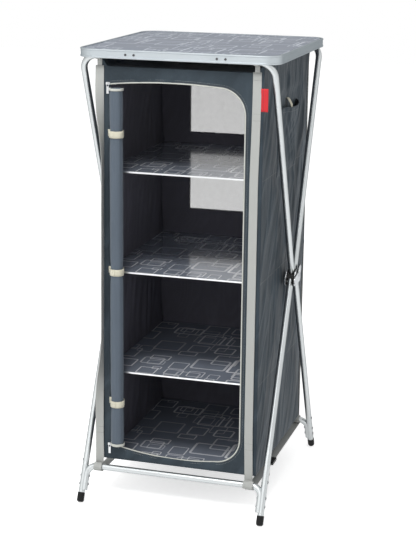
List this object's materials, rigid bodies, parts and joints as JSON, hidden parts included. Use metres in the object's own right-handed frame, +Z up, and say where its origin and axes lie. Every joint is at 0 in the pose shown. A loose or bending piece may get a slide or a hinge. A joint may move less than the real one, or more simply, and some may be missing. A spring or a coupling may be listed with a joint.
{
  "type": "camping cupboard",
  "caption": "Tall folding camping cupboard: fabric cabinet with shelves and a rolled-up door, hung by webbing in an aluminium tube frame with knee hubs under a lift-off table top.",
  "frame": {"origin": "on the floor, under the middle of the cupboard", "axes": "+X to the cupboard's right side as seen from the front, +Y to the back, +Z up"},
  "size_m": [0.6132, 0.7117, 1.38],
  "materials": {
    "board": "printed gloss",
    "extrusion": "anodised",
    "tube": "anodised",
    "black_plastic": "moulded",
    "steel_plate": "brushed",
    "rivet": "dark",
    "cap_rubber": "matt",
    "cloth": "woven polyester",
    "mesh": "open mesh",
    "shelf_laminate": "gloss laminate",
    "edge_strip": "bright",
    "webbing": "grey webbing",
    "pale_tape": "woven tape",
    "red_cloth": "woven tag",
    "white_cloth": "woven tag"
  },
  "bodies": {
    "hubs_and_cabinet": {"hub_body_left": "black_plastic", "hub_body_right": "black_plastic", "hub_plate_inner_left": "steel_plate", "hub_plate_outer_left": "steel_plate", "hub_plate_inner_right": "steel_plate", "hub_plate_outer_right": "steel_plate", "hub_pins_left": "steel_plate", "hub_pins_right": "steel_plate", "front_panel": "cloth", "back_panel": "cloth", "side_panel_left": "cloth", "side_panel_right": "cloth", "roof_panel": "cloth", "bottom_panel": "cloth", "mesh_windows": "mesh", "shelf_board_upper": "shelf_laminate", "shelf_board_middle": "shelf_laminate", "shelf_board_lower": "shelf_laminate", "floor_board": "shelf_laminate", "shelf_edge_strips": "edge_strip", "shelf_ledges": "cloth", "door_roll": "cloth", "door_trim": "pale_tape", "tie_straps": "pale_tape", "zip_track": "pale_tape", "zip_slider_top": "rivet", "zip_slider_bottom": "rivet", "side_pocket": "cloth", "pocket_snap": "pale_tape", "side_tag": "red_cloth", "strap_tag": "white_cloth", "front_strap_left": "webbing", "front_strap_right": "webbing", "rear_strap_left": "webbing", "rear_strap_right": "webbing", "bottom_strap_left": "webbing", "bottom_strap_right": "webbing", "strap_buckle": "black_plastic"},
    "front_legs": {"lower_front_leg_left": "tube", "lower_front_leg_right": "tube", "lower_front_crossbar": "tube", "front_leg_rivets": "rivet", "front_foot_caps": "cap_rubber"},
    "rear_legs": {"lower_rear_leg_left": "tube", "lower_rear_leg_right": "tube", "lower_rear_crossbar": "tube", "rear_leg_rivets": "rivet", "rear_foot_caps": "cap_rubber"},
    "table_top": {"table_board": "board", "table_rim": "extrusion", "table_clips": "black_plastic", "rim_rivets": "rivet"},
    "upper_front": {"upper_front_frame": "tube"},
    "upper_rear": {"upper_rear_frame": "tube"},
    "lever_left": {"lock_lever_left": "steel_plate", "lever_pad_left": "black_plastic"},
    "lever_right": {"lock_lever_right": "steel_plate", "lever_pad_right": "black_plastic"},
    "pull_top": {"zip_pull_top": "steel_plate"},
    "pull_bottom": {"zip_pull_bottom": "steel_plate"}
  },
  "joints": [
    {"name": "front_legs_fold", "type": "hinge", "parent": "hubs_and_cabinet", "child": "front_legs", "pos_m": [0, -0.0303, 0.671], "axis": [1, 0, 0], "range_deg": [0, 25], "deforming": ["front_strap_left", "front_strap_right", "bottom_strap_left", "bottom_strap_right", "strap_tag"]},
    {"name": "rear_legs_fold", "type": "hinge", "parent": "hubs_and_cabinet", "child": "rear_legs", "pos_m": [0, 0.0303, 0.671], "axis": [-1, 0, 0], "range_deg": [0, 25], "deforming": ["rear_strap_left", "rear_strap_right"]},
    {"name": "table_top_lift", "type": "slide", "parent": "hubs_and_cabinet", "child": "table_top", "axis": [0, 0, 1], "range_m": [0, 0.25], "deforming": ["table_clips"]},
    {"name": "upper_front_fold", "type": "hinge", "parent": "hubs_and_cabinet", "child": "upper_front", "pos_m": [0, -0.01386, 0.6915], "axis": [-1, 0, 0], "range_deg": [0, 22.5]},
    {"name": "upper_rear_fold", "type": "hinge", "parent": "hubs_and_cabinet", "child": "upper_rear", "pos_m": [0, 0.01386, 0.6915], "axis": [1, 0, 0], "range_deg": [0, 22.5]},
    {"name": "lock_lever_left", "type": "hinge", "parent": "hubs_and_cabinet", "child": "lever_left", "pos_m": [-0.3035, 0, 0.686], "axis": [-1, 0, 0], "range_deg": [0, 50]},
    {"name": "lock_lever_right", "type": "hinge", "parent": "hubs_and_cabinet", "child": "lever_right", "pos_m": [0.3035, 0, 0.686], "axis": [-1, 0, 0], "range_deg": [0, 50]},
    {"name": "zip_pull_top_swing", "type": "hinge", "parent": "hubs_and_cabinet", "child": "pull_top", "pos_m": [-0.209, -0.2879, 1.2805], "axis": [-1, 0, 0], "range_deg": [0, 110]},
    {"name": "zip_pull_bottom_swing", "type": "hinge", "parent": "hubs_and_cabinet", "child": "pull_bottom", "pos_m": [-0.209, -0.2879, 0.1775], "axis": [-1, 0, 0], "range_deg": [0, 110]}
  ],
  "couplings": [
    {"joint": "rear_legs_fold", "follows": "front_legs_fold", "ratio": 1},
    {"joint": "upper_front_fold", "follows": "table_top_lift", "rad_per_m": 1.55},
    {"joint": "upper_rear_fold", "follows": "table_top_lift", "rad_per_m": 1.55}
  ]
}
